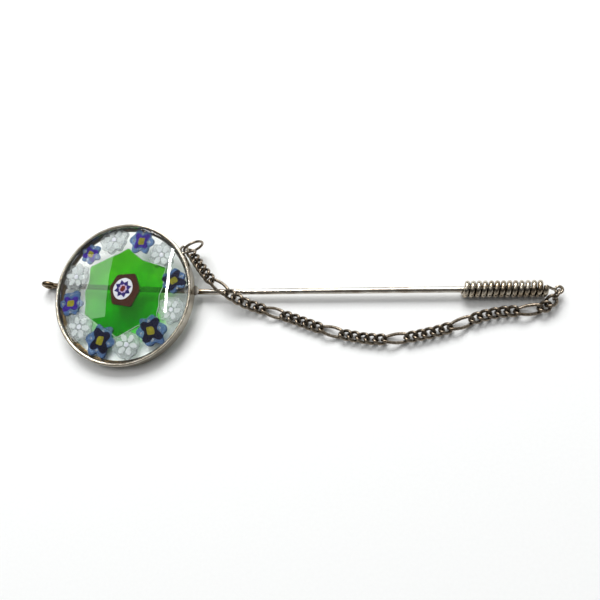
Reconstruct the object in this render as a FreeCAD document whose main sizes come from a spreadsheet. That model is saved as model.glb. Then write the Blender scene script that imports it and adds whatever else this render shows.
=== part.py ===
"""Hat pin: a glass disc of patterned canes in a silver bezel, a long pin stem
soldered across its back, a coiled wire guard on the tip, and a safety chain
from the bezel to the guard.

Millimetres. The pin lies as it rests on a table at Z = 0: +X runs along the
stem towards its tip, +Z is up. The stem is level, and the disc leans on the
lower edge of its bezel.
"""
import FreeCAD, Part
import math
import os

from FreeCAD import Matrix, Placement, Rotation, Vector

# Driving dimensions, one spreadsheet row each: alias, value.
SIZES = [
    # the disc and its bezel
    ("disc_x", -24.05),
    ("disc_drop", 0.58),
    ("bezel_radius", 11.0),
    ("bezel_wall", 0.35),
    ("bezel_band", 1.8),
    ("ledge_width", 0.7),
    ("ledge_thick", 0.3),
    ("lip_width", 0.5),
    ("lip_thick", 0.2),
    ("glass_radius", 10.6),
    ("glass_edge", 1.56),
    ("glass_crown", 2.35),
    # the canes fused into the glass
    ("cane_top", 1.25),
    ("cane_ring", 8.2),
    ("cane_radius", 1.75),
    ("cane_turn", 12.5),
    ("ground_tip", 6.9),
    ("ground_waist", 5.45),
    ("ground_turn", 30.0),
    ("core_radius", 2.5),
    ("core_x", 0.25),
    ("core_y", 0.5),
    ("core_turn", 20.0),
    # the pin stem
    ("stem_y", 0.72),
    ("stem_z", 1.2),
    ("stem_radius", 0.43),
    ("stem_bend_x", 20.0),
    ("stem_bend_radius", 390.0),
    ("stem_taper_x", 49.5),
    ("stem_tip_x", 58.5),
    ("stem_tip_radius", 0.06),
    ("eye_x", 13.9),
    ("eye_ring", 0.8),
    ("eye_wire", 0.38),
    ("eye_sweep", 340.0),
    ("eye_turn", -12.0),
    ("solder_long", 1.15),
    ("solder_wide", 0.85),
    ("solder_deep", 0.6),
    # the eyelet and the jump ring on the bezel
    ("eyelet_turn", 37.0),
    ("eyelet_out", 0.42),
    ("eyelet_height", 0.95),
    ("eyelet_ring", 0.56),
    ("eyelet_wire", 0.18),
    ("jump_ring", 1.5),
    ("jump_wire", 0.2),
    ("jump_turn", 29.0),
    ("jump_lean", 10.0),
    ("jump_droop", 24.0),
    ("jump_sweep", 344.0),
    ("jump_hold_turn", -125.0),
    # the guard: a close coil of wire, ending in a small eye
    ("coil_x", 49.9),
    ("coil_ring", 0.84),
    ("coil_wire", 0.36),
    ("coil_pitch", 0.79),
    ("coil_turns", 13.5),
    ("guard_eye_x", 62.25),
    ("guard_eye_y", 0.2),
    ("guard_eye_tilt", 10.0),
    ("guard_eye_ring", 0.45),
    ("guard_eye_wire", 0.18),
    # the chain
    ("link_wire", 0.21),
    ("link_bow", 0.64),
    ("link_small", 0.8465),
    ("link_long", 1.78),
    ("link_hold", 0.49),
    ("link_play", 0.06),
    ("link_roll", 45.0),
    ("last_roll", 30.0),
    ("end_roll", -75.0),
    ("end_ring_out", 0.3),
    ("end_ring", 0.72),
    ("end_wire", 0.16),
]

# The route of the chain's middle line, from beside the jump ring over the stem
# and along the table to the guard: points from below the disc's centre, with Y
# from the stem's axis and Z from the table.
CHAIN_ROUTE = [
    (11.2, 4.25, 2.2),
    (12.6, 2.55, 2.6),
    (14.1, 0.95, 2.72),
    (15.6, -0.1, 2.62),
    (17.0, -1.0, 2.2),
    (18.6, -1.75, 1.45),
    (20.9, -2.45, 0.82),
    (25.1, -3.7, 0.7),
    (30.8, -5.7, 0.7),
    (34.8, -6.66, 0.7),
    (38.4, -7.1, 0.7),
    (43.8, -6.5, 0.7),
    (48.4, -5.2, 0.7),
    (52.2, -3.75, 0.7),
    (56.2, -3.05, 0.75),
    (59.9, -2.75, 0.85),
    (61.3, -1.75, 1.0),
    (61.75, -0.95, 1.1),
]
# Six small links, then five times a long one and five small ones, and the end.
CHAIN_PATTERN = ["small"] * 6 + (["long"] + ["small"] * 5) * 5 + ["long", "small", "small"]
# How far each cane stands off the walls of its seat in the glass.
CANE_GAP = 0.01

doc = FreeCAD.newDocument("hat_pin")
sheet = doc.addObject("Spreadsheet::Sheet", "Sizes")
for row, (alias, value) in enumerate(SIZES, start=1):
    sheet.set(f"A{row}", alias)
    sheet.set(f"B{row}", repr(value))
    sheet.setAlias(f"B{row}", alias)
doc.recompute()

NODES = []


def size(alias):
    """One driving dimension, read from the sheet."""
    return float(sheet.get(alias))


def bind(thing, **formulas):
    """Binds properties of an object to formulas of the sheet's aliases."""
    for name, formula in formulas.items():
        thing.setExpression(name, formula)


def cell(alias):
    """A driving dimension's name in a formula."""
    return f"Sizes.{alias}"


def node(thing, name, placement=None):
    """Registers an object as the finished sub-part of that name."""
    thing.Label = name
    if placement is not None:
        thing.Placement = placement
    NODES.append(thing)
    return thing


def new_body(name):
    """An empty body for one sub-part."""
    return doc.addObject("PartDesign::Body", f"{name}_body")


def origin_item(body, role):
    """One of the body's own origin planes or axes."""
    return next(item for item in body.Origin.OriginFeatures if item.Role == role)


def sketch_on(body, role, name):
    """A sketch on one of the body's own origin planes."""
    sketch = body.newObject("Sketcher::SketchObject", name)
    sketch.AttachmentSupport = [(origin_item(body, role), "")]
    sketch.MapMode = "FlatFace"
    return sketch


def add_outline(sketch, points):
    """Draws a closed outline of straight lines through the points."""
    for start, end in zip(points, points[1:] + points[:1]):
        sketch.addGeometry(Part.LineSegment(Vector(*start, 0), Vector(*end, 0)), False)


def from_points(body, role, name, points):
    """A sketch of a closed outline."""
    sketch = sketch_on(body, role, name)
    add_outline(sketch, points)
    return sketch


def revolve(body, sketch, name):
    """Turns a sketch a full turn about its own vertical axis."""
    feature = body.newObject("PartDesign::Revolution", name)
    feature.Profile = sketch
    feature.ReferenceAxis = (sketch, ["V_Axis"])
    feature.Angle = 360.0
    return feature


def pad(body, sketch, name, length):
    """Raises a sketch into a slab."""
    feature = body.newObject("PartDesign::Pad", name)
    feature.Profile = sketch
    bind(feature, Length=length)
    return feature


def pocket(body, sketch, name, length=None):
    """Cuts a pocket from the XY plane upwards, and stops if it takes nothing away."""
    doc.recompute()
    before = body.Shape.Volume
    feature = body.newObject("PartDesign::Pocket", name)
    feature.Profile = sketch
    feature.Reversed = True
    if length:
        bind(feature, Length=length)
    else:
        feature.Type = "ThroughAll"
    doc.recompute()
    if body.Shape.Volume > before - 0.1:
        raise RuntimeError(f"{name} cuts nothing")
    return feature


def polar(radius, degrees, middle=(0.0, 0.0)):
    """A flat point at a radius and an angle from a middle point."""
    angle = math.radians(degrees)
    return (middle[0] + radius * math.cos(angle), middle[1] + radius * math.sin(angle))


def primitive(kind, name, placement=None, **formulas):
    """A Part primitive whose sizes are bound to the sheet."""
    thing = doc.addObject(f"Part::{kind}", name)
    bind(thing, **formulas)
    if placement is not None:
        thing.Placement = placement
    return thing


def fuse(name, parts):
    thing = doc.addObject("Part::MultiFuse", name)
    thing.Shapes = parts
    thing.Refine = True
    return thing


def cut(name, base, tool):
    thing = doc.addObject("Part::Cut", name)
    thing.Base = base
    thing.Tool = tool
    return thing


def frame_of(along, up):
    """The rotation whose X is `along` and whose Z leans as close to `up` as it can."""
    x_axis = Vector(along).normalize()
    y_axis = Vector(up).cross(x_axis).normalize()
    z_axis = x_axis.cross(y_axis)
    return Rotation(Matrix(
        x_axis.x, y_axis.x, z_axis.x, 0.0,
        x_axis.y, y_axis.y, z_axis.y, 0.0,
        x_axis.z, y_axis.z, z_axis.z, 0.0,
        0.0, 0.0, 0.0, 1.0,
    ))


# The disc leans about the stem until the bezel's lower back edge is on the table.
REACH = math.hypot(size("bezel_radius") + size("disc_drop"), size("stem_radius"))
LEAN = math.degrees(
    math.atan2(size("stem_radius"), size("bezel_radius") + size("disc_drop"))
    + math.asin(size("stem_z") / REACH)
)
STEM_AXIS = Placement(Vector(size("disc_x"), size("stem_y"), size("stem_z")), Rotation())
DISC = (
    STEM_AXIS
    * Placement(Vector(), Rotation(Vector(1, 0, 0), LEAN))
    * Placement(Vector(0, -size("disc_drop"), size("stem_radius") + 0.01), Rotation())
)


def on_stem(along, aside=0.0, above=0.0):
    """A point by its distance along the stem from below the disc's centre."""
    return STEM_AXIS.Base + Vector(along, aside, above)


def make_bezel():
    """A strip bent round the glass, a ledge behind it and a lip rubbed over in front."""
    body = new_body("bezel")
    outer = size("bezel_radius")
    wall = outer - size("bezel_wall")
    ledge = wall - size("ledge_width")
    band = size("bezel_band")
    lip = outer - size("lip_width")
    points = [
        (ledge, 0.0),
        (outer, 0.0),
        (outer, band - 0.12),
        (outer - 0.12, band),
        (lip + 0.1, band),
        (lip, band - size("lip_thick") + 0.06),
        (lip, band - size("lip_thick")),
        (wall, band - size("lip_thick")),
        (wall, size("ledge_thick")),
        (ledge, size("ledge_thick")),
    ]
    revolve(body, from_points(body, "XZ_Plane", "bezel_profile", points), "bezel_ring")
    return node(body, "bezel", DISC)


def ground_outline(grow=0.0):
    """The green ground's outline: a six-pointed star with shallow waists."""
    turn = size("ground_turn")
    points = []
    for step in range(6):
        points.append(polar(size("ground_tip") + grow, turn + 60 * step))
        points.append(polar(size("ground_waist") + grow, turn + 60 * step + 30))
    return points


def core_outline(grow=0.0):
    """The middle cane's outline: a hexagon."""
    middle = (size("core_x"), size("core_y"))
    turn = size("core_turn")
    return [polar(size("core_radius") + grow, turn + 60 * step, middle) for step in range(6)]


def cane_outline(turn, grow=0.0):
    """A cane's flat slice: a blunt octagon on the ring of canes."""
    middle = polar(size("cane_ring"), turn)
    wide = size("cane_radius") + grow
    narrow = wide - 0.12
    points = []
    for step in range(8):
        radius = wide if step % 2 == 0 else narrow
        points.append(polar(radius, turn + 45 * step, middle))
    return points


def seat_height():
    """The canes' own plane: the back of the glass."""
    return size("ledge_thick") + 0.01


def make_glass():
    """The clear disc with its low dome, and the pockets that the canes fill from behind."""
    body = new_body("glass_disc")
    back = seat_height()
    edge = size("glass_edge")
    rim = size("bezel_radius") - size("lip_width") - 0.05
    crown = size("glass_crown")
    sketch = sketch_on(body, "XZ_Plane", "glass_profile")
    corners = [(0.0, crown), (0.0, back), (size("glass_radius"), back), (size("glass_radius"), edge), (rim, edge)]
    for start, end in zip(corners, corners[1:]):
        sketch.addGeometry(Part.LineSegment(Vector(*start, 0), Vector(*end, 0)), False)
    rise = crown - edge
    dome = (rim * rim + rise * rise) / (2 * rise)
    middle = Vector(0, crown - dome, 0)
    tilt = math.asin(rim / dome)
    circle = Part.Circle(middle, Vector(0, 0, 1), dome)
    sketch.addGeometry(Part.ArcOfCircle(circle, math.pi / 2 - tilt, math.pi / 2), False)
    revolve(body, sketch, "glass_solid")
    outlines = [ground_outline(CANE_GAP)]
    outlines += [cane_outline(size("cane_turn") + 30 * step, CANE_GAP) for step in range(12)]
    for number, outline in enumerate(outlines):
        sketch = from_points(body, "XY_Plane", f"cane_seat_{number}_outline", outline)
        pocket(body, sketch, f"cane_seat_{number}", cell("cane_top") + " + 0.01")
    return node(body, "glass_disc", DISC)


def make_ground():
    """The green ground, with a seat for the middle cane."""
    body = new_body("green_ground")
    pad(body, from_points(body, "XY_Plane", "ground_outline", ground_outline()), "ground_slab",
        cell("cane_top") + " - " + cell("ledge_thick") + " - 0.01")
    pocket(body, from_points(body, "XY_Plane", "core_seat_outline", core_outline(CANE_GAP)), "core_seat")
    return node(body, "green_ground", DISC * Placement(Vector(0, 0, seat_height()), Rotation()))


def make_core():
    """The six-sided cane in the middle of the ground."""
    body = new_body("centre_cane")
    pad(body, from_points(body, "XY_Plane", "core_outline", core_outline()), "core_slab",
        cell("cane_top") + " - " + cell("ledge_thick") + " - 0.01")
    return node(body, "centre_cane", DISC * Placement(Vector(0, 0, seat_height()), Rotation()))


def make_canes(name, turn):
    """Six like canes round the ground, every 60 degrees."""
    body = new_body(name)
    body.AllowCompound = True
    slab = pad(body, from_points(body, "XY_Plane", f"{name}_outline", cane_outline(turn)),
               f"{name}_slab", cell("cane_top") + " - " + cell("ledge_thick") + " - 0.01")
    pattern = body.newObject("PartDesign::PolarPattern", f"{name}_ring")
    pattern.Originals = [slab]
    pattern.Axis = (origin_item(body, "Z_Axis"), [""])
    pattern.Angle = 360.0
    pattern.Occurrences = 6
    body.Tip = pattern
    return node(body, name, DISC * Placement(Vector(0, 0, seat_height()), Rotation()))


def make_stem():
    """The pin: a straight wire with a ground point, bowed behind the disc into an eye."""
    bend = size("stem_bend_radius")
    turn = math.asin((size("stem_bend_x") + size("eye_x") - size("eye_ring")) / bend)
    centre = on_stem(size("stem_bend_x"), bend)
    bow = primitive(
        "Torus", "stem_bow",
        Placement(centre, Rotation(Vector(0, 0, 1), -90 - math.degrees(turn))),
        Radius1=cell("stem_bend_radius"),
        Radius2=cell("stem_radius"),
    )
    bow.Angle3 = math.degrees(turn)
    shank = primitive(
        "Cylinder", "stem_shank",
        Placement(on_stem(size("stem_bend_x")), Rotation(Vector(0, 0, 1), Vector(1, 0, 0))),
        Radius=cell("stem_radius"),
        Height=f"{cell('stem_taper_x')} - {cell('stem_bend_x')}",
    )
    point = primitive(
        "Cone", "stem_point",
        Placement(on_stem(size("stem_taper_x")), Rotation(Vector(0, 0, 1), Vector(1, 0, 0))),
        Radius1=cell("stem_radius"),
        Radius2=cell("stem_tip_radius"),
        Height=f"{cell('stem_tip_x')} - {cell('stem_taper_x')}",
    )
    start = centre + Vector(-bend * math.sin(turn), -bend * math.cos(turn), 0)
    along = Vector(math.cos(turn), -math.sin(turn), 0)
    upright = frame_of(along, Vector(0, 0, 1)) * Rotation(Vector(1, 0, 0), 90)
    ring_frame = upright * Rotation(Vector(0, 0, 1), size("eye_turn"))
    eye = primitive(
        "Torus", "stem_eye",
        Placement(start - along * size("eye_ring"), ring_frame),
        Radius1=cell("eye_ring"),
        Radius2=cell("eye_wire"),
        Angle3=cell("eye_sweep"),
    )
    return node(fuse("pin_stem_all", [bow, shank, point, eye]), "pin_stem")


def stem_bow(along):
    """How far the stem has bowed aside at a distance along it."""
    bend = size("stem_bend_radius")
    return bend - math.sqrt(bend * bend - (size("stem_bend_x") - along) ** 2)


def make_solder(stem):
    """Two blobs of solder where the stem crosses the bezel's back."""
    blobs = []
    middle = size("bezel_radius") - size("bezel_wall") - size("ledge_width") / 2 + 0.15
    for number, side in enumerate((-1, 1)):
        along = side * middle
        blob = primitive(
            "Ellipsoid", f"solder_blob_{number}",
            Placement(on_stem(along, stem_bow(along), size("stem_radius")), Rotation(Vector(1, 0, 0), LEAN)),
            Radius1=cell("solder_deep"),
            Radius2=cell("solder_long"),
            Radius3=cell("solder_wide"),
        )
        blobs.append(blob)
    both = fuse("solder_blobs", blobs)
    above = primitive(
        "Cylinder", "solder_cap", DISC, Radius=cell("bezel_radius") + " * 2", Height=cell("bezel_radius"),
    )
    below = cut("solder_under", both, above)
    return node(cut("solder_all", below, stem), "stem_solder")


def eyelet_middle():
    """The middle of the eyelet's hole, in the disc's own frame."""
    spot = polar(size("bezel_radius") + size("eyelet_out"), size("eyelet_turn"))
    return Vector(*spot, size("eyelet_height"))


def make_eyelet():
    """A half ring of wire soldered flat against the band."""
    ring = primitive(
        "Torus", "eyelet_ring", Placement(eyelet_middle(), Rotation()),
        Radius1=cell("eyelet_ring"), Radius2=cell("eyelet_wire"),
    )
    band = primitive(
        "Cylinder", "eyelet_band", Placement(Vector(), Rotation()),
        Radius=cell("bezel_radius"), Height=cell("bezel_band") + " * 2",
    )
    return node(cut("eyelet_all", ring, band), "bezel_eyelet", DISC)


def jump_ring_place():
    """The jump ring's middle and the turn of its plane: out from the disc, drooping from the eyelet."""
    hole = DISC.multVec(eyelet_middle())
    out = Vector(*polar(1.0, size("jump_turn")), 0)
    plane = frame_of(out, Vector(0, 0, 1)) * Rotation(Vector(1, 0, 0), 90 + size("jump_lean"))
    middle = hole + plane.multVec(Vector(*polar(size("jump_ring"), -size("jump_droop")), 0))
    return middle, plane


def make_jump_ring():
    """An open ring; its cut ends face up, away from the chain."""
    middle, plane = jump_ring_place()
    opening = (360 - size("jump_sweep")) / 2
    turn = Rotation(Vector(0, 0, 1), 130 + opening)
    ring = primitive(
        "Torus", "jump_ring_wire", Placement(middle, plane * turn),
        Radius1=cell("jump_ring"), Radius2=cell("jump_wire"), Angle3=cell("jump_sweep"),
    )
    return node(ring, "jump_ring")


def jump_ring_hold():
    """The point of the jump ring's wire that the first link hooks on."""
    middle, plane = jump_ring_place()
    return middle + plane.multVec(Vector(*polar(size("jump_ring"), size("jump_hold_turn")), 0))


def guard_eye_middle():
    """The middle of the guard's eye."""
    return on_stem(size("guard_eye_x"), -size("guard_eye_y"), 0.0)


def make_guard():
    """The guard: a close coil with a small eye turned at its outer end."""
    helix = doc.addObject("Part::Helix", "coil_line")
    bind(
        helix, Pitch=cell("coil_pitch"), Radius=cell("coil_ring"),
        Height=f"{cell('coil_pitch')} * {cell('coil_turns')}",
    )
    helix.LocalCoord = 1
    helix.Placement = Placement(on_stem(size("coil_x")), Rotation(Vector(0, 0, 1), Vector(1, 0, 0)))
    doc.recompute()
    spine = helix.Shape.Edges[0]
    start = spine.valueAt(spine.FirstParameter)
    section = doc.addObject("Part::Circle", "coil_section")
    bind(section, Radius=cell("coil_wire"))
    tangent = spine.tangentAt(spine.FirstParameter)
    section.Placement = Placement(start, Rotation(Vector(0, 0, 1), tangent))
    coil = doc.addObject("Part::Sweep", "coil_wire")
    coil.Sections = [section]
    coil.Spine = (helix, [f"Edge{number + 1}" for number in range(len(helix.Shape.Edges))])
    coil.Solid = True
    coil.Frenet = True
    end = helix.Shape.Edges[-1].valueAt(helix.Shape.Edges[-1].LastParameter)
    eye_middle = guard_eye_middle()
    shank_end = eye_middle - Vector(size("guard_eye_ring"), 0, 0)
    eye = primitive(
        "Torus", "guard_eye", Placement(eye_middle, Rotation(Vector(1, 0, 0), size("guard_eye_tilt"))),
        Radius1=cell("guard_eye_ring"), Radius2=cell("guard_eye_wire"),
    )
    reach = shank_end - end
    shank = primitive(
        "Cylinder", "guard_shank", Placement(end, Rotation(Vector(0, 0, 1), reach)),
        Radius=cell("guard_eye_wire"),
    )
    shank.Height = reach.Length
    return node(fuse("guard_all", [coil, eye, shank]), "guard_coil")


def make_link_shape(kind):
    """One link: a flat oval of round wire, two half rings joined by two straight runs."""
    bow = size("link_bow")
    straight = size(f"link_{kind}") - bow
    parts = []
    for side in (-1, 1):
        half = primitive(
            "Torus", f"{kind}_half_ring",
            Placement(Vector(side * straight, 0, 0), Rotation(Vector(0, 0, 1), -90 * side)),
            Radius1=cell("link_bow"), Radius2=cell("link_wire"),
        )
        half.Angle3 = 180.0
        run = primitive(
            "Cylinder", f"{kind}_run",
            Placement(Vector(-straight, side * bow, 0), Rotation(Vector(0, 1, 0), 90)),
            Radius=cell("link_wire"), Height=f"2 * ({cell('link_' + kind)} - {cell('link_bow')})",
        )
        parts += [half, run]
    shape = fuse(f"{kind}_link", parts)
    doc.recompute()
    return shape.Shape


def chain_pivots():
    """Points down the route where one link holds the next, a link's hold apart."""
    base = STEM_AXIS.Base
    points = [Vector(base.x + x, base.y + y, z) for x, y, z in CHAIN_ROUTE]
    hold = jump_ring_hold()
    wires = size("jump_wire") + size("link_wire") + size("link_play")
    points.insert(0, hold - (points[0] - hold).normalize() * (wires - size("link_hold") / 2))
    route = Part.BSplineCurve()
    route.interpolate(points)
    low, high = route.FirstParameter, route.LastParameter
    last = route.value(low)
    at = low
    pivots = [last]
    for kind in CHAIN_PATTERN:
        reach = 2 * size(f"link_{kind}") - size("link_hold")
        near, far = at, min(high, at + (high - low) * 0.2)
        if (route.value(far) - last).Length < reach:
            raise RuntimeError("The chain is longer than its route")
        while far - near > 1e-7:
            guess = (near + far) / 2
            if (route.value(guess) - last).Length < reach:
                near = guess
            else:
                far = guess
        at = far
        last = route.value(at)
        pivots.append(last)
    return pivots


def make_chain():
    """The links, each rolled a quarter turn from its neighbours so that they interlock."""
    shapes = {kind: make_link_shape(kind) for kind in ("small", "long")}
    pivots = chain_pivots()
    roll = size("link_roll")
    for number, kind in enumerate(CHAIN_PATTERN):
        if number == len(CHAIN_PATTERN) - 1:
            roll = size("last_roll")
        start, end = pivots[number], pivots[number + 1]
        facing = frame_of(end - start, Vector(0, 0, 1)) * Rotation(Vector(1, 0, 0), roll)
        link = doc.addObject("Part::Feature", f"link_{number + 1:02d}_wire")
        link.Shape = shapes[kind].copy()
        node(link, f"link_{number + 1:02d}_{kind}", Placement((start + end) / 2, facing))
        roll = -roll
    return pivots


def make_end_ring(pivots):
    """The small ring that holds the last link to the guard's eye."""
    tip = pivots[-1] + (pivots[-1] - pivots[-2]).normalize() * size("link_hold") / 2
    way = (guard_eye_middle() - tip).normalize()
    facing = frame_of(way, Vector(0, 0, 1)) * Rotation(Vector(1, 0, 0), size("end_roll"))
    ring = primitive(
        "Torus", "end_ring_wire",
        Placement(tip + way * size("end_ring_out"), facing),
        Radius1=cell("end_ring"), Radius2=cell("end_wire"),
    )
    return node(ring, "end_ring")


def check():
    """Stops on any failed feature, and on any sub-part that isn't a sound solid."""
    doc.recompute()
    for thing in doc.Objects:
        if "Invalid" in thing.State or "Error" in thing.State:
            raise RuntimeError(f"{thing.Name} failed: {thing.State}")
    for thing in NODES:
        if thing.Shape.isNull() or not thing.Shape.isValid() or not thing.Shape.Solids:
            raise RuntimeError(f"{thing.Label} isn't a valid solid")


make_bezel()
make_glass()
make_ground()
make_core()
make_canes("blue_canes", size("cane_turn"))
make_canes("clear_canes", size("cane_turn") + 30)
stem_node = make_stem()
make_solder(stem_node)
make_eyelet()
make_jump_ring()
make_guard()
chain_points = make_chain()
make_end_ring(chain_points)
check()

os.makedirs("parts", exist_ok=True)
for thing in NODES:
    thing.Shape.exportStep(os.path.join("parts", f"{thing.Label}.step"))
box = FreeCAD.BoundBox()
for thing in NODES:
    box.add(thing.Shape.BoundBox)
print("nodes", len(NODES), "box", [round(v, 2) for v in (box.XMin, box.YMin, box.ZMin, box.XMax, box.YMax, box.ZMax)])
print("lean", round(LEAN, 3), "chain end", chain_points[-1], "eye", guard_eye_middle())
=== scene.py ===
"""Looks of the hat pin: a millefiori glass disc in a silver bezel, a pin stem with a
coiled guard, and a figaro safety chain. Lengths are in metres; MM turns millimetres
into them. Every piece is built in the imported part's own frame."""

import math
import random

import bmesh
import bpy
from mathutils import Matrix, Vector, noise


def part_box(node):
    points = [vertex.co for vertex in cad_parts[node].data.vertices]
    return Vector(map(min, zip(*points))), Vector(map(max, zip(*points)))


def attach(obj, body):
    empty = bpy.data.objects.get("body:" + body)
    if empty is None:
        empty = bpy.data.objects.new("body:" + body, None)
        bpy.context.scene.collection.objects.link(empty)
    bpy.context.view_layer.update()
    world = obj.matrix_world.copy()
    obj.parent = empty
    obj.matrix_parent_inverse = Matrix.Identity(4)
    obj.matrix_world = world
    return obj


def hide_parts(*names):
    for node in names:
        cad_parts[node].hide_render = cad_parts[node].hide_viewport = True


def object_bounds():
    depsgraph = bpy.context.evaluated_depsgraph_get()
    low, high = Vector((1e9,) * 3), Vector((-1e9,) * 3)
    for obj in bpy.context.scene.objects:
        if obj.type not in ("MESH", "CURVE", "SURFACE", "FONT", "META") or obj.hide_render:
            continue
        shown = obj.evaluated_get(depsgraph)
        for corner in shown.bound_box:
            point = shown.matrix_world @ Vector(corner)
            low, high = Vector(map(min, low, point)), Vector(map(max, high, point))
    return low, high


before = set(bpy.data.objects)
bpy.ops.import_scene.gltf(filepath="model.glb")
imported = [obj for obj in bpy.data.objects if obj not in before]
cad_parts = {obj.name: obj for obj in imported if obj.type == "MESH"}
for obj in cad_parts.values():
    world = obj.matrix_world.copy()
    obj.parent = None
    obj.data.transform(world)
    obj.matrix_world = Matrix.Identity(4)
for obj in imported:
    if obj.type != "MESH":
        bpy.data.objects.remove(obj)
CAD_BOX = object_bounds()

MM = 0.001

# The disc leans on the bezel's rim. Its band, the ball that the dome is cut from and the
# dome's top over the band's lower edge are in millimetres.
LEAN = math.radians(8.071)
BAND = 1.8
DOME_RADIUS = 69.5
DOME_TOP = 2.35

# How far from the disc's middle the fused patterns may reach: the surrounds, and what lies in them.
SURROUND_REACH = 10.35
PATTERN_REACH = 10.2

# Half a chain link's length and width, its wire's radius, and its twist in degrees from
# the middle to either end.
LONG_LINK = 1.78
SMALL_LINK = 0.8465
LINK_HALF_WIDE = 0.63
LINK_WIRE = 0.225
LINK_TWIST = 50

# The eye at the guard's end: the radius of its curl and of the wire.
EYE_RADIUS = 0.45
EYE_WIRE = 0.20

# The camera's place in millimetres and its turn in degrees.
CAMERA_PLACE = (19.885, -30.563, 80.788)
CAMERA_TURN = (20.598, 11.259, -0.453)


def middle_of(name):
    """The middle of a CAD node's box."""
    low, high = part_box(name)
    return (low + high) / 2


# The disc's own frame: its middle on the band's lower edge, Z through the dome's top.
DISC = Matrix.Translation(middle_of("bezel")) @ Matrix.Rotation(LEAN, 4, "X")
DISC = DISC @ Matrix.Translation((0, 0, -BAND / 2 * MM))


# ---------------------------------------------------------------- mesh helpers

def make_piece(name, verts, faces, materials, body, replaced=(), place=None, smooth=True,
               face_materials=None):
    """A mesh piece from points in millimetres, riding on a body of the part."""
    mesh = bpy.data.meshes.new(name)
    mesh.from_pydata([tuple(c * MM for c in v) for v in verts], [], faces)
    for material in materials:
        mesh.materials.append(material)
    if face_materials:
        mesh.polygons.foreach_set("material_index", face_materials)
    mesh.polygons.foreach_set("use_smooth", [smooth] * len(mesh.polygons))
    work = bmesh.new()
    work.from_mesh(mesh)
    bmesh.ops.recalc_face_normals(work, faces=work.faces)
    work.to_mesh(mesh)
    work.free()
    piece = bpy.data.objects.new(name, mesh)
    bpy.context.scene.collection.objects.link(piece)
    if place is not None:
        piece.matrix_world = place
    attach(piece, body)
    if replaced:
        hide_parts(*replaced)
    return piece


def sharpen(piece, degrees=35):
    """Keeps edges over that angle sharp, the rest smooth."""
    piece.data.set_sharp_from_angle(angle=math.radians(degrees))


def lathe(profile, turns, wobble=None):
    """A closed ring from a closed profile of (radius, height) points.

    wobble(spot, radius, height, angle) may move each point a little.
    """
    verts, faces = [], []
    count = len(profile)
    for step in range(turns):
        angle = 2 * math.pi * step / turns
        for spot, (radius, height) in enumerate(profile):
            if wobble:
                radius, height = wobble(spot, radius, height, angle)
            verts.append((radius * math.cos(angle), radius * math.sin(angle), height))
    for step in range(turns):
        for spot in range(count):
            a = step * count + spot
            b = step * count + (spot + 1) % count
            c = ((step + 1) % turns) * count + (spot + 1) % count
            d = ((step + 1) % turns) * count + spot
            faces.append((a, b, c, d))
    return verts, faces


def sweep(points, radius, sides, closed=False):
    """A round tube along points, closed into a loop or capped at both ends."""
    points = [Vector(p) for p in points]
    count = len(points)
    verts, faces = [], []
    normal = None
    first_normal = None
    for step, point in enumerate(points):
        before = points[step - 1] if closed or step else point
        after = points[(step + 1) % count] if closed or step < count - 1 else point
        along = (after - before).normalized()
        if normal is None:
            normal = along.orthogonal().normalized()
            first_normal = normal
        normal = (normal - along * normal.dot(along)).normalized()
        side = along.cross(normal)
        for turn in range(sides):
            angle = 2 * math.pi * turn / sides
            offset = normal * math.cos(angle) + side * math.sin(angle)
            verts.append(tuple(point + offset * radius))
    shift = 0
    if closed:
        along = (points[1] - points[-1]).normalized()
        last = (normal - along * normal.dot(along)).normalized()
        twist = math.atan2(last.cross(first_normal).dot(along), last.dot(first_normal))
        shift = round(twist / (2 * math.pi / sides))
    for step in range(count if closed else count - 1):
        wraps = closed and step == count - 1
        for turn in range(sides):
            a = step * sides + turn
            b = step * sides + (turn + 1) % sides
            move = -shift if wraps else 0
            c = ((step + 1) % count) * sides + (turn + 1 + move) % sides
            d = ((step + 1) % count) * sides + (turn + move) % sides
            faces.append((a, b, c, d))
    if not closed:
        faces.append(tuple(range(sides))[::-1])
        faces.append(tuple((count - 1) * sides + turn for turn in range(sides)))
    return verts, faces


def slab(outline, bottom, top, bevel):
    """A flat slab with softly rounded upper edges, from an outline round its middle."""
    middle = Vector((sum(p[0] for p in outline), sum(p[1] for p in outline))) / len(outline)
    rings = [(1.0, bottom), (1.0, top - bevel), (1 - bevel * 0.3, top - bevel * 0.3), (1 - bevel, top)]
    rings += [(0.66, top), (0.33, top)]
    verts, faces = [], []
    count = len(outline)
    for share, height in rings:
        for x, y in outline:
            verts.append((middle.x + (x - middle.x) * share, middle.y + (y - middle.y) * share, height))
    for ring in range(len(rings) - 1):
        for step in range(count):
            a = ring * count + step
            b = ring * count + (step + 1) % count
            faces.append((a, b, b + count, a + count))
    top_middle = len(verts)
    verts.append((middle.x, middle.y, top))
    bottom_middle = len(verts)
    verts.append((middle.x, middle.y, bottom))
    last = (len(rings) - 1) * count
    for step in range(count):
        after = (step + 1) % count
        faces.append((last + step, last + after, top_middle))
        faces.append((after, step, bottom_middle))
    return verts, faces


def join(parts):
    """Joins (verts, faces, material number) parts into one mesh's lists."""
    verts, faces, numbers = [], [], []
    for part_verts, part_faces, number in parts:
        base = len(verts)
        verts += part_verts
        faces += [tuple(base + corner for corner in face) for face in part_faces]
        numbers += [number] * len(part_faces)
    return verts, faces, numbers


def polar(radius, degrees, middle=(0.0, 0.0)):
    """The point at a distance and an angle from a middle."""
    angle = math.radians(degrees)
    return (middle[0] + radius * math.cos(angle), middle[1] + radius * math.sin(angle))


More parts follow.
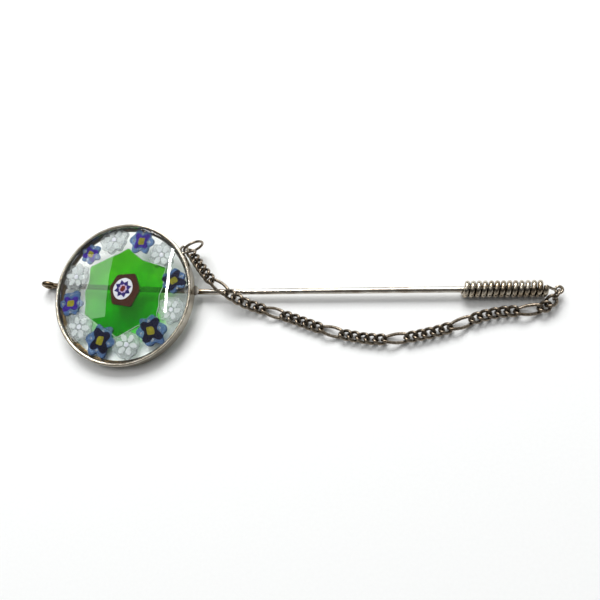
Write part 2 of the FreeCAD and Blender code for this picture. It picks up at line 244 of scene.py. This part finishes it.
def flower(middle, radius, lobes, depth, turn, seed, wobble, steps=96, squash=(1.0, 1.0, 0.0)):
    """A lobed closed outline, uneven by wobble; squash stretches it along and across an angle."""
    wide, tall, lie = squash
    outline = []
    for step in range(steps):
        angle = 2 * math.pi * step / steps
        ripple = noise.noise(Vector((math.cos(angle) * 1.7, math.sin(angle) * 1.7, seed * 3.1)))
        reach = radius * (1 + depth * math.cos(lobes * (angle - math.radians(turn))) + wobble * 2 * ripple)
        x, y = reach * math.cos(angle), reach * math.sin(angle)
        c, s = math.cos(math.radians(lie)), math.sin(math.radians(lie))
        along, across = (x * c + y * s) * wide, (-x * s + y * c) * tall
        outline.append((middle[0] + along * c - across * s, middle[1] + along * s + across * c))
    return outline


# ------------------------------------------------------------ material helpers

class Nodes:
    """A short way to build the node tree of a material or a world."""

    def __init__(self, owner, output="ShaderNodeOutputMaterial"):
        self.owner = owner
        owner.use_nodes = True
        self.tree = owner.node_tree
        self.tree.nodes.clear()
        self.output = self.add(output)

    def add(self, kind, **values):
        """A new node with some of its own settings."""
        made = self.tree.nodes.new(kind)
        for key, value in values.items():
            setattr(made, key, value)
        return made

    def feed(self, target, value):
        """Gives an input its value: another node's output, a number or a colour."""
        if isinstance(value, bpy.types.NodeSocket):
            self.tree.links.new(value, target)
        elif isinstance(value, (int, float)):
            target.default_value = value
        else:
            target.default_value = (*value, 1)

    def principled(self, **inputs):
        """The main shader, with inputs named as Blender does but for _ instead of a space."""
        made = self.add("ShaderNodeBsdfPrincipled")
        for key, value in inputs.items():
            self.feed(made.inputs[key.replace("_", " ")], value)
        return made.outputs[0]

    def clear(self, colour):
        """A shader that lets everything through, tinted."""
        made = self.add("ShaderNodeBsdfTransparent")
        self.feed(made.inputs["Color"], colour)
        return made.outputs[0]

    def blend(self, share, first, second):
        """Two shaders mixed; share is how much of the second shows."""
        made = self.add("ShaderNodeMixShader")
        for target, value in zip(made.inputs, (share, first, second)):
            self.feed(target, value)
        return made.outputs[0]

    def coordinates(self, scale=(1, 1, 1)):
        """The object's own coordinates, scaled along each axis."""
        place = self.add("ShaderNodeTexCoord")
        mapping = self.add("ShaderNodeMapping")
        mapping.inputs["Scale"].default_value = scale
        self.feed(mapping.inputs["Vector"], place.outputs["Object"])
        return mapping.outputs["Vector"]

    def axes(self, kind):
        """One kind of coordinate split into its X, Y and Z."""
        place = self.add("ShaderNodeTexCoord")
        split = self.add("ShaderNodeSeparateXYZ")
        self.feed(split.inputs[0], place.outputs[kind])
        return split.outputs

    def span(self, source, start, end):
        """How far a value has come from start to end, 0 to 1."""
        made = self.add("ShaderNodeMapRange")
        self.feed(made.inputs["From Min"], start)
        self.feed(made.inputs["From Max"], end)
        self.feed(made.inputs["Value"], source)
        return made.outputs[0]

    def along(self, axis, start, end):
        """How far a point has come from start to end along one of the object's axes, 0 to 1."""
        return self.span(self.axes("Object")[axis], start * MM, end * MM)

    def noise(self, scale, detail, rough, vector, distortion=0.0):
        """Noise over a vector, as a value."""
        made = self.add("ShaderNodeTexNoise")
        made.inputs["Scale"].default_value = scale
        made.inputs["Detail"].default_value = detail
        made.inputs["Roughness"].default_value = rough
        made.inputs["Distortion"].default_value = distortion
        self.feed(made.inputs["Vector"], vector)
        return made.outputs["Fac"]

    def ramp(self, source, *stops):
        """Turns a value into the colours or greys of (place, colour) stops."""
        made = self.add("ShaderNodeValToRGB")
        ramp = made.color_ramp
        while len(ramp.elements) < len(stops):
            ramp.elements.new(1.0)
        for element, (place, colour) in zip(ramp.elements, stops):
            element.position = place
            grey = isinstance(colour, (int, float))
            element.color = (colour,) * 3 + (1,) if grey else (*colour, 1)
        self.feed(made.inputs["Fac"], source)
        return made.outputs["Color"]

    def mix(self, factor, first, second, kind="MIX"):
        """Two colours mixed by a factor."""
        made = self.add("ShaderNodeMix", data_type="RGBA", blend_type=kind)
        for place, value in ((0, factor), (6, first), (7, second)):
            self.feed(made.inputs[place], value)
        return made.outputs[2]

    def multiply(self, first, second):
        """One colour darkened by another."""
        return self.mix(1.0, first, second, "MULTIPLY")

    def multiply_add(self, value, factor, added):
        """A value times a factor, plus another value."""
        made = self.add("ShaderNodeMath", operation="MULTIPLY_ADD")
        for target, given in zip(made.inputs, (value, factor, added)):
            self.feed(target, given)
        return made.outputs[0]

    def bump(self, source, strength, distance):
        """A normal roughened by a value's height."""
        made = self.add("ShaderNodeBump")
        self.feed(made.inputs["Strength"], strength)
        self.feed(made.inputs["Distance"], distance)
        self.feed(made.inputs["Height"], source)
        return made.outputs["Normal"]

    def shade(self, shader):
        """Ends the tree with a shader and gives back the material or world."""
        self.feed(self.output.inputs["Surface"], shader)
        return self.owner


def new_material(name):
    """The node tree of a new material."""
    return Nodes(bpy.data.materials.new(name))


def metal(name, bright, worn, dark, rough, tarnish_and_shade_reach=0.35, scratches=(1, 1, 1), patina=0.5,
          bump=0.25, darker_stretch=None):
    """Silver with tarnish and painted shade in its hollows, blotches of patina and fine wear.

    rough is (smoothest, dullest). The reach of the tarnish and shade is how far, in
    millimetres, an ambient occlusion looks for cover: what it finds covered, in hollows,
    between parts or where a piece nears the floor, turns towards the dark colour, partly
    as tarnish and partly as painted shade. The last argument is (start, end) in
    millimetres along X, where a darker stretch gives way.
    """
    nodes = new_material(name)
    fine = nodes.noise(5200, 5, 0.6, nodes.coordinates(scratches))
    broad = nodes.noise(700, 4, 0.6, nodes.coordinates())
    # Ambient occlusion over the whole scene: hollows, gaps between parts and undersides near the floor take
    # the dark colour, partly tarnish and partly painted shade.
    occlusion_tarnish_and_shade = nodes.add("ShaderNodeAmbientOcclusion", samples=6)
    nodes.feed(occlusion_tarnish_and_shade.inputs["Distance"], tarnish_and_shade_reach * MM)
    blotch = nodes.ramp(broad, (0.5 - patina * 0.3, worn), (0.5 + patina * 0.25, bright))
    fleck = nodes.ramp(fine, (0.3, 0.82), (0.62, 1.0))
    blotch = nodes.multiply(blotch, fleck)
    clean_and_lit_share = nodes.ramp(occlusion_tarnish_and_shade.outputs["AO"], (0.22, 0.0), (0.78, 1.0))
    colour = nodes.mix(clean_and_lit_share, dark, blotch)
    # Below the stretch's start along X the colour turns darker brown, fading out towards its end along a
    # ragged edge.
    if darker_stretch:
        edge = nodes.multiply_add(broad, 0.5, nodes.along("X", *darker_stretch))
        darkening = nodes.ramp(edge, (0.3, (0.30, 0.24, 0.17)), (0.95, 1.0))
        colour = nodes.multiply(colour, darkening)
    smooth, dull = rough
    shine = nodes.ramp(fine, (0.35, smooth), (0.75, dull))
    wear = nodes.bump(fine, bump, 0.012 * MM)
    return nodes.shade(nodes.principled(Metallic=1.0, Base_Color=colour, Roughness=shine, Normal=wear))


def fused_glass(name, light, deep, clear, solid, scale=900):
    """Coloured glass inside the disc: streaked colour, partly see-through.

    clear tints what shows through it, and solid is (least, most) of how solid it is.
    """
    nodes = new_material(name)
    swirl = nodes.noise(scale, 5, 0.6, nodes.coordinates((1, 1, 0.4)), 1.2)
    grain = nodes.noise(scale * 5, 3, 0.6, nodes.coordinates())
    colour = nodes.ramp(swirl, (0.32, deep), (0.68, light))
    colour = nodes.multiply(colour, nodes.ramp(grain, (0.3, 0.86), (0.7, 1.0)))
    paint = nodes.principled(Roughness=0.35, Specular_IOR_Level=0.0, Base_Color=colour)
    least, most = solid
    share = nodes.ramp(swirl, (0.3, most), (0.7, least))
    return nodes.shade(nodes.blend(share, nodes.clear(clear), paint))


def green_glass(name):
    """Transparent green with faint streaks, darker towards the disc's lower edge as painted shade, where the
    leaning disc comes down to the floor.
    """
    nodes = new_material(name)
    # Painted shade: the tint and the colour turn darker towards the disc's lower edge.
    shade_towards_lower_edge = nodes.along("Y", -6.0, 5.0)
    swirl = nodes.noise(240, 4, 0.6, nodes.coordinates((1, 0.6, 0.4)), 1.0)
    tint = nodes.ramp(shade_towards_lower_edge, (0.15, (0.16, 0.74, 0.04)), (0.75, (0.38, 0.86, 0.10)))
    tint = nodes.multiply(tint, nodes.ramp(swirl, (0.3, 0.90), (0.7, 1.0)))
    colour = nodes.ramp(shade_towards_lower_edge, (0.1, (0.004, 0.20, 0.001)), (0.8, (0.03, 0.42, 0.002)))
    paint = nodes.principled(Roughness=0.4, Specular_IOR_Level=0.0, Base_Color=colour)
    share = nodes.ramp(swirl, (0.3, 0.26), (0.7, 0.14))
    return nodes.shade(nodes.blend(share, nodes.clear(tint), paint))


def clear_glass(name):
    """The disc's glass: polished, faintly wavy, and open to lamps."""
    nodes = new_material(name)
    wave = nodes.noise(170, 2, 0.5, nodes.coordinates())
    speck = nodes.noise(9000, 3, 0.6, nodes.coordinates())
    body = nodes.principled(
        Metallic=0.0, IOR=1.5, Base_Color=(0.96, 0.98, 0.97), Transmission_Weight=1.0,
        Roughness=nodes.ramp(speck, (0.55, 0.0), (0.8, 0.045)), Normal=nodes.bump(wave, 0.12, 0.05 * MM),
    )
    lit_through = nodes.clear((0.93, 0.95, 0.94))
    path = nodes.add("ShaderNodeLightPath")
    return nodes.shade(nodes.blend(path.outputs["Is Shadow Ray"], body, lit_through))


# Each metal's third colour fills what the ambient occlusion finds covered: tarnish in hollows, and painted
# shade between parts and over the floor.
SILVER = metal("polished_silver", (0.66, 0.62, 0.54), (0.40, 0.34, 0.25), (0.07, 0.045, 0.02),
               rough=(0.14, 0.30), tarnish_and_shade_reach=0.5, scratches=(1, 1, 3), patina=0.7)
STEM = metal("stem_silver", (0.66, 0.62, 0.55), (0.40, 0.34, 0.27), (0.10, 0.075, 0.045),
             rough=(0.10, 0.24), scratches=(0.12, 1, 1), patina=0.6, darker_stretch=(-12.5, -7.5))
COIL = metal("coil_silver", (0.62, 0.56, 0.46), (0.32, 0.25, 0.17), (0.025, 0.015, 0.007),
             rough=(0.12, 0.28), tarnish_and_shade_reach=0.85, patina=0.5)
CHAIN = metal("oxidised_silver", (0.33, 0.28, 0.22), (0.12, 0.09, 0.06), (0.012, 0.008, 0.004),
              rough=(0.2, 0.38), tarnish_and_shade_reach=0.55, patina=0.7, bump=0.5)
SOLDER = metal("solder", (0.42, 0.40, 0.36), (0.25, 0.22, 0.19), (0.06, 0.045, 0.03),
               rough=(0.35, 0.6), patina=0.8, bump=0.6)
CLEAR = clear_glass("clear_glass")
GREEN = green_glass("green_glass")
MAROON = fused_glass("cane_maroon", (0.070, 0.020, 0.009), (0.035, 0.010, 0.005), (0.4, 0.1, 0.05),
                     solid=(0.9, 0.97), scale=1300)
WHITE = fused_glass("cane_white", (0.80, 0.79, 0.84), (0.62, 0.61, 0.72), (0.9, 0.9, 0.95),
                    solid=(0.9, 0.97))
LILAC = fused_glass("cane_lilac", (0.62, 0.46, 0.66), (0.42, 0.28, 0.50), (0.8, 0.7, 0.9),
                    solid=(0.9, 0.97))
NAVY = fused_glass("cane_navy", (0.030, 0.016, 0.20), (0.008, 0.006, 0.05), (0.1, 0.05, 0.5),
                   solid=(0.88, 0.97))
RED = fused_glass("cane_red", (0.20, 0.022, 0.014), (0.08, 0.008, 0.006), (0.5, 0.1, 0.1),
                  solid=(0.9, 0.97))
PETAL = fused_glass("cane_violet", (0.060, 0.022, 0.34), (0.012, 0.008, 0.085), (0.15, 0.08, 0.6),
                    solid=(0.85, 0.96), scale=1100)
DARK_PETAL = fused_glass("cane_dark", (0.006, 0.007, 0.035), (0.002, 0.002, 0.006), (0.05, 0.05, 0.3),
                         solid=(0.88, 0.97))
YELLOW = fused_glass("cane_yellow", (0.30, 0.27, 0.018), (0.13, 0.12, 0.008), (0.7, 0.6, 0.1),
                     solid=(0.92, 0.98), scale=1500)
BLUE = fused_glass("cane_blue", (0.16, 0.24, 0.40), (0.035, 0.10, 0.27), (0.55, 0.68, 0.86),
                   solid=(0.38, 0.75), scale=620)
MIST = fused_glass("cane_clear", (0.62, 0.64, 0.645), (0.42, 0.45, 0.455), (0.90, 0.92, 0.92),
                   solid=(0.20, 0.45), scale=1100)
THREAD = fused_glass("cane_thread", (0.86, 0.88, 0.89), (0.66, 0.69, 0.70), (0.95, 0.96, 0.97),
                     solid=(0.40, 0.75), scale=1500)


# ---------------------------------------------------------------------- the disc

def make_bezel():
    """A bent strip with a rubbed-over lip, not quite even as handwork leaves it."""
    foot = [(9.95, 0.02), (9.97, 0.0), (10.9, 0.0), (10.97, 0.03)]
    wall = [(11.0, 0.1), (11.0, 0.5), (11.0, 0.9), (11.0, 1.3)]
    outer_lip = [(11.0, 1.6), (10.98, 1.69), (10.93, 1.76), (10.86, 1.795)]
    inner_lip = [(10.76, 1.8), (10.66, 1.785), (10.58, 1.75), (10.52, 1.7), (10.5, 1.65), (10.5, 1.6)]
    seat = [(10.62, 1.6), (10.65, 1.57), (10.65, 1.0), (10.65, 0.33), (10.62, 0.3), (9.98, 0.3), (9.95, 0.28)]
    wall_start = len(foot)
    lip_start = wall_start + len(wall)
    lip_turn = lip_start + len(outer_lip)
    lip_end = lip_turn + len(inner_lip)

    def uneven(spot, radius, height, angle):
        along = Vector((math.cos(angle) * 3.2, math.sin(angle) * 3.2, 0.0))
        ripple = noise.noise(along) * 0.05 + noise.noise(along * 3.3) * 0.02
        if lip_start <= spot < lip_end:
            height += ripple * 0.7
            radius += ripple * (0.5 if spot >= lip_turn else 0.15)
        elif wall_start <= spot < lip_start:
            radius += noise.noise(along * 1.7 + Vector((0, 0, height))) * 0.02
        return min(radius, 11.0), height

    verts, faces = lathe(foot + wall + outer_lip + inner_lip + seat, 256, uneven)
    piece = make_piece("bezel_band", verts, faces, [SILVER], "pin", ["bezel"], DISC)
    sharpen(piece, 40)


def dome_height(radius):
    """How high the glass stands at a distance from the disc's middle."""
    return DOME_TOP - DOME_RADIUS + math.sqrt(DOME_RADIUS ** 2 - radius ** 2)


def make_glass():
    """The clear disc: a low polished dome over a flat back."""
    back = 0.32
    profile = [(0.6 * step, dome_height(0.6 * step)) for step in range(1, 18)]
    profile += [(10.45, dome_height(10.45)), (10.58, 1.52), (10.6, 1.46), (10.6, 0.9), (10.6, 0.4)]
    profile += [(radius, back) for radius in (10.52, 9.0, 6.0, 3.0)]
    turns, count = 192, len(profile)
    verts, faces = lathe(profile, turns)
    faces = [face for number, face in enumerate(faces) if number % count != count - 1]
    top, bottom = len(verts), len(verts) + 1
    verts += [(0.0, 0.0, DOME_TOP), (0.0, 0.0, back)]
    for step in range(turns):
        after = (step + 1) % turns
        faces.append((step * count, after * count, top))
        faces.append((after * count + count - 1, step * count + count - 1, bottom))
    piece = make_piece("glass_dome", verts, faces, [CLEAR], "pin", ["glass_disc"], DISC)
    sharpen(piece, 30)


# The patterns are seen through the glass, so all are set off by this much, in millimetres.
SINK = Vector((-0.22, 0.16))

# The green star's outline in the disc's plane, in millimetres from its middle.
GROUND = [
    (0.5, 7.0), (1.75, 5.95), (3.0, 5.05), (4.3, 4.65), (5.6, 4.25), (6.85, 3.85), (6.5, 2.4),
    (6.65, 1.0), (6.1, -0.5), (6.2, -1.9), (5.95, -3.1), (6.25, -4.4), (4.6, -4.65), (3.1, -5.0),
    (1.5, -5.9), (-0.1, -6.8), (-1.4, -5.85), (-2.9, -5.15), (-4.1, -4.3), (-5.65, -3.4),
    (-5.7, -1.6), (-6.0, 0.2), (-5.5, 1.8), (-5.55, 4.15), (-4.0, 4.85), (-2.4, 5.6), (-0.9, 6.2),
]


def sunk(x, y):
    """A point of the patterns, set off for the glass over it."""
    return (x + SINK.x, y + SINK.y)


def soften(points, share):
    """Blunts an outline's corners by cutting off a share of each side."""
    cut = []
    for here, after in zip(points, points[1:] + points[:1]):
        near, far = Vector(here), Vector(after)
        cut.append(tuple(near.lerp(far, share)))
        cut.append(tuple(near.lerp(far, 1 - share)))
    return cut


def make_ground():
    """The green star, with the pale seam where it meets the canes."""
    outline = soften([sunk(*point) for point in GROUND], 0.12)
    seam = [(x, y, 1.04) for x, y in outline]
    parts = [(*slab(outline, 0.42, 1.05, 0.02), 0), (*sweep(seam, 0.05, 6, True), 1)]
    verts, faces, numbers = join(parts)
    make_piece("green_star", verts, faces, [GREEN, THREAD], "pin", ["green_ground"], DISC,
               smooth=False, face_materials=numbers)


def make_core():
    """The middle cane: a maroon six-sided rod with a white eye and a navy star."""
    rod = [(-0.83, 2.76), (1.99, 2.95), (3.0, 0.49), (1.76, -2.15), (-1.27, -1.7), (-1.89, 0.94)]
    eye = sunk(0.29, 0.60)
    lie = 58.0
    ray = 360 / 16
    star = [polar(0.94 if step % 2 else 1.42, lie + ray * step, eye) for step in range(16)]
    layers = [
        (soften([sunk(*point) for point in rod], 0.05), 0.40, 1.20),
        (flower(eye, 1.60, 1, 0.0, 0, 2, 0.015, squash=(1.06, 0.94, lie)), 1.0, 1.215),
        (soften(star, 0.06), 1.0, 1.23),
        (flower(eye, 0.64, 8, 0.10, lie + ray, 5, 0.02), 1.0, 1.24),
        (flower(eye, 0.42, 4, 0.04, 20, 7, 0.04, squash=(1.15, 0.88, lie)), 1.0, 1.25),
    ]
    parts = []
    for number, (outline, bottom, top) in enumerate(layers):
        parts.append((*slab(outline, bottom, top, 0.02), number))
    verts, faces, numbers = join(parts)
    make_piece("centre_rod", verts, faces, [MAROON, WHITE, NAVY, LILAC, RED], "pin",
               ["centre_cane"], DISC, smooth=False, face_materials=numbers)


# Blue canes: angle in degrees, distance in millimetres, turn of the petals, size, dark
# petals or not, and how far the surround stretches outwards.
BLUE_CANES = [
    (73.0, 8.45, 38.0, 0.98, False, 1.05),
    (132.8, 8.5, 20.0, 0.88, False, 0.92),
    (-169.1, 8.35, 48.0, 1.0, False, 1.05),
    (-110.3, 7.75, 30.0, 1.12, True, 1.2),
    (-47.6, 7.75, 62.0, 1.12, True, 1.22),
    (12.5, 8.4, 75.0, 0.98, True, 1.0),
]

# Clear canes: angle, distance, size, and whether a dark thread runs round the lower right.
CLEAR_CANES = [
    (104.2, 8.75, 1.05, True),
    (44.8, 8.3, 1.0, True),
    (161.4, 8.25, 1.0, True),
    (-141.0, 8.25, 1.05, False),
    (-78.7, 7.95, 1.05, False),
    (-17.6, 8.5, 0.95, False),
]


def kept_inside(outline, reach):
    """Pulls an outline's points in where they would leave the glass."""
    kept = []
    for x, y in outline:
        far = math.hypot(x, y)
        share = min(1.0, reach / far)
        kept.append((x * share, y * share))
    return kept


def make_blue_canes():
    """Blue canes: a lobed surround, crossed petals in it and a yellow heart."""
    parts = []
    for number, (angle, radius, turn, scale, dark, stretch) in enumerate(BLUE_CANES):
        middle = sunk(*polar(radius, angle))
        outwards = (stretch, 1.0, angle)
        surround = flower(middle, 1.75 * scale, 6, 0.13, turn + 15, number + 11, 0.10, squash=outwards)
        surround = kept_inside(surround, SURROUND_REACH)
        parts.append((*slab(surround, 0.36 + 0.004 * number, 1.12, 0.03), 0))
        reach = 1.36 if dark else 1.2
        petals = flower(middle, reach * scale, 4, 0.30, turn, number + 3, 0.12, squash=(1.06, 0.94, angle))
        parts.append((*slab(kept_inside(petals, PATTERN_REACH), 0.7, 1.14, 0.02), 2 if dark else 1))
        heart = flower(middle, 0.58 * scale, 4, 0.10, turn, number + 31, 0.08, squash=(1.12, 0.9, angle))
        parts.append((*slab(heart, 0.7, 1.16, 0.02), 3))
        for lobe in range(4):
            spot = polar(1.32 * scale, turn + 45 + 90 * lobe, middle)
            fleck = flower(spot, 0.20, 2, 0.25, turn + 90 * lobe, number * 5 + lobe, 0.2, 24)
            parts.append((*slab(kept_inside(fleck, PATTERN_REACH), 0.8, 1.135, 0.02), 4))
    verts, faces, numbers = join(parts)
    make_piece("blue_flowers", verts, faces, [BLUE, PETAL, DARK_PETAL, YELLOW, MIST], "pin",
               ["blue_canes"], DISC, smooth=False, face_materials=numbers)


def make_clear_canes():
    """Misty canes, each with a white flower of six petals round a dot."""
    parts = []
    for number, (angle, radius, scale, lined) in enumerate(CLEAR_CANES):
        middle = sunk(*polar(radius, angle))
        surround = flower(middle, 2.0 * scale, 9, 0.06, angle, number + 51, 0.09)
        surround = kept_inside(surround, SURROUND_REACH)
        parts.append((*slab(surround, 0.35 + 0.004 * number, 1.02, 0.03), 0))
        if lined:
            edge = flower(middle, 1.86 * scale, 9, 0.07, angle, number + 51, 0.10)
            edge = kept_inside(edge, PATTERN_REACH)
            edge = [(*point, 1.05) for point in edge[-30:] + edge[:8]]
            parts.append((*sweep(edge, 0.035, 6), 3))
        for petal in range(6):
            turn = angle + 60 * petal + 12
            spot = polar(1.05 * scale, turn, middle)
            shape = flower(spot, 0.46 * scale, 2, 0.18, turn, number * 7 + petal, 0.16, 32)
            parts.append((*slab(kept_inside(shape, PATTERN_REACH), 0.8, 1.06, 0.02), 1))
        dot = flower(middle, 0.34 * scale, 5, 0.06, angle, number + 71, 0.08, 32)
        parts.append((*slab(dot, 0.8, 1.10, 0.03), 2))
    verts, faces, numbers = join(parts)
    make_piece("clear_flowers", verts, faces, [MIST, THREAD, WHITE, DARK_PETAL], "pin",
               ["clear_canes"], DISC, smooth=False, face_materials=numbers)


# --------------------------------------------------------------------- the chain

def link_path(half_long, steps=72):
    """A flat oval of wire turned along its own length, as a curb link is."""
    straight = half_long - LINK_HALF_WIDE
    points = []
    for step in range(steps):
        angle = 2 * math.pi * step / steps
        x = LINK_HALF_WIDE * math.cos(angle)
        y = LINK_HALF_WIDE * math.sin(angle)
        x += straight * math.copysign(min(1.0, abs(math.cos(angle)) * 2.2), math.cos(angle))
        turn = math.radians(LINK_TWIST) * x / half_long
        points.append((x, y * math.cos(turn), y * math.sin(turn)))
    return points


def turned(x_axis, y_axis):
    """The turn that lays X and Y along two directions at right angles."""
    return Matrix((x_axis, y_axis, x_axis.cross(y_axis))).transposed().to_4x4()


def facing(along):
    """The turn whose X lies along a direction and whose Z leans upwards."""
    x_axis = along.normalized()
    return turned(x_axis, Vector((0, 0, 1)).cross(x_axis).normalized())


def make_chain():
    """Curb links: every one is twisted the same way, and holds the next."""
    chance = random.Random(7)
    links = sorted(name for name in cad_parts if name.startswith("link_"))
    middles = [middle_of(name) for name in links]
    middles = [middles[0] * 2 - middles[1]] + middles + [middle_of("end_ring")]
    for number, name in enumerate(links):
        body = name.rsplit("_", 1)[0]
        along = middles[number + 2] - middles[number]
        half_long = LONG_LINK if name.endswith("long") else SMALL_LINK
        verts, faces = sweep(link_path(half_long), LINK_WIRE, 14, True)
        roll = Matrix.Rotation(math.radians(chance.uniform(-5, 5)), 4, "X")
        place = Matrix.Translation(middles[number + 1]) @ facing(along) @ roll
        make_piece(f"{body}_curb", verts, faces, [CHAIN], body, [name], place)


def make_guard_eye():
    """The guard's last bit of wire, curled into an eye whose end stands a little open.

    It leaves the last turn's top and comes down to the eye, which lies just past the coil.
    """
    axis = middle_of("guard_coil") / MM
    guard_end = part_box("guard_coil")[1].x / MM
    middle = Vector((guard_end - 0.63, axis.y - 0.2, axis.z))
    coil_end = Vector((middle.x - 1.685, axis.y, axis.z + 0.84))
    eye_start = middle - Vector((EYE_RADIUS, 0, 0))
    path = [coil_end.lerp(eye_start, share) for share in (0.0, 0.3, 0.6, 0.85)]
    for step in range(20):
        angle = math.radians(180 + 17 * step)
        along, across = math.cos(angle), math.sin(angle)
        path.append(middle + Vector((EYE_RADIUS * along, EYE_RADIUS * across, 0.08 * across)))
    verts, faces = sweep(path, EYE_WIRE, 14)
    make_piece("guard_eye_wire", verts, faces, [COIL], "guard")


def dress(name, material):
    """Gives a CAD node its finish."""
    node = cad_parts[name]
    node.data.materials.clear()
    node.data.materials.append(material)


make_bezel()
make_glass()
make_ground()
make_core()
make_blue_canes()
make_clear_canes()
make_chain()
make_guard_eye()
dress("pin_stem", STEM)
dress("guard_coil", COIL)
dress("jump_ring", CHAIN)
dress("end_ring", CHAIN)
dress("bezel_eyelet", SILVER)
dress("stem_solder", SOLDER)


# ---------------------------------------------------------- floor, light, camera

def floor_white():
    """Matt white with a barely visible grain."""
    nodes = new_material("floor_white")
    grain = nodes.noise(2500, 3, 0.6, nodes.coordinates())
    colour = nodes.ramp(grain, (0.3, (0.90, 0.91, 0.905)), (0.7, (0.92, 0.93, 0.925)))
    return nodes.shade(nodes.principled(Roughness=0.8, Specular_IOR_Level=0.1, Base_Color=colour))


def make_floor():
    """A wide plain floor, just under what the pin lies on."""
    mesh = bpy.data.meshes.new("floor")
    reach = 1.5
    corners = [(-reach, -reach, 0), (reach, -reach, 0), (reach, reach, 0), (-reach, reach, 0)]
    mesh.from_pydata(corners, [], [(0, 1, 2, 3)])
    floor = bpy.data.objects.new("floor", mesh)
    floor.location.z = CAD_BOX[0].z - 0.01 * MM
    bpy.context.scene.collection.objects.link(floor)
    mesh.materials.append(floor_white())


def make_camera():
    """A camera above the pin, a little over twenty degrees off the vertical."""
    data = bpy.data.cameras.new("camera")
    data.sensor_width = 36.0
    data.lens = 36.0
    data.clip_start = 0.001
    data.clip_end = 10.0
    camera = bpy.data.objects.new("camera", data)
    camera.rotation_mode = "ZYX"
    camera.rotation_euler = [math.radians(angle) for angle in CAMERA_TURN]
    camera.location = [MM * c for c in CAMERA_PLACE]
    bpy.context.scene.collection.objects.link(camera)
    bpy.context.scene.camera = camera


def mirrored(x, y):
    """Where the dome sends the view from the camera: a point on it, and the way on."""
    spot = DISC @ (Vector((x, y, dome_height(math.hypot(x, y)))) * MM)
    normal = (DISC.to_3x3() @ Vector((x, y, math.sqrt(DOME_RADIUS ** 2 - x * x - y * y)))).normalized()
    seen = (spot - Vector(CAMERA_PLACE) * MM).normalized()
    return spot, seen - normal * 2 * seen.dot(normal)


def area_light(name, wide, tall, radiance):
    """A rectangular light of an even glow, still to be placed."""
    lamp = bpy.data.lights.new(name, "AREA")
    lamp.shape = "RECTANGLE"
    lamp.size = wide
    lamp.size_y = tall
    lamp.energy = radiance * math.pi * wide * tall
    light = bpy.data.objects.new(name, lamp)
    bpy.context.scene.collection.objects.link(light)
    return light


def panel(name, corners, distance, radiance):
    """A soft panel placed so that the dome mirrors it between four of its points."""
    ends = []
    for x, y in corners:
        spot, way = mirrored(x, y)
        ends.append(spot + way * distance)
    middle = sum(ends, Vector()) / 4
    right = ((ends[1] + ends[2]) - (ends[0] + ends[3])) / 2
    up = ((ends[0] + ends[1]) - (ends[3] + ends[2])) / 2
    x_axis = right.normalized()
    y_axis = (up - x_axis * up.dot(x_axis)).normalized()
    if x_axis.cross(y_axis).dot(middle) < 0:
        x_axis = -x_axis
    light = area_light(name, right.length, up.length, radiance)
    light.matrix_world = Matrix.Translation(middle) @ turned(x_axis, y_axis)


def soft_box(name, way, distance, wide, tall, radiance):
    """A soft light in a direction from the object's middle."""
    way = Vector(way).normalized()
    light = area_light(name, wide, tall, radiance)
    light.rotation_mode = "QUATERNION"
    light.rotation_quaternion = way.to_track_quat("Z", "Y")
    light.location = way * distance


def make_world():
    """A pale room: bright overhead and behind, darker towards the viewer."""
    world = bpy.data.worlds.new("room")
    bpy.context.scene.world = world
    nodes = Nodes(world, "ShaderNodeOutputWorld")
    way = nodes.axes("Generated")
    rise = nodes.span(nodes.multiply_add(way["Y"], 0.6, way["Z"]), -1.0, 1.25)
    stops = [(0.0, 0.4), (0.42, 0.25), (0.50, 0.04), (0.68, 0.05), (0.78, 0.30), (0.90, 0.34), (1.0, 0.8)]
    background = nodes.add("ShaderNodeBackground")
    nodes.feed(background.inputs["Color"], nodes.ramp(rise, *stops))
    nodes.feed(background.inputs["Strength"], 1.25)
    nodes.shade(background.outputs[0])


make_floor()
make_camera()
make_world()
panel("strip_light", [(7.05, 7.45), (7.5, 7.45), (7.9, -3.0), (7.45, -3.0)], 0.4, 45.0)
panel("side_window", [(-6.6, 6.6), (-2.3, 5.9), (-1.5, -3.3), (-6.0, -4.4)], 0.5, 3.2)
soft_box("overhead", (-0.1, 0.70, 0.71), 0.5, 0.34, 0.24, 10.5)
bpy.context.scene.view_settings.view_transform = "Standard"
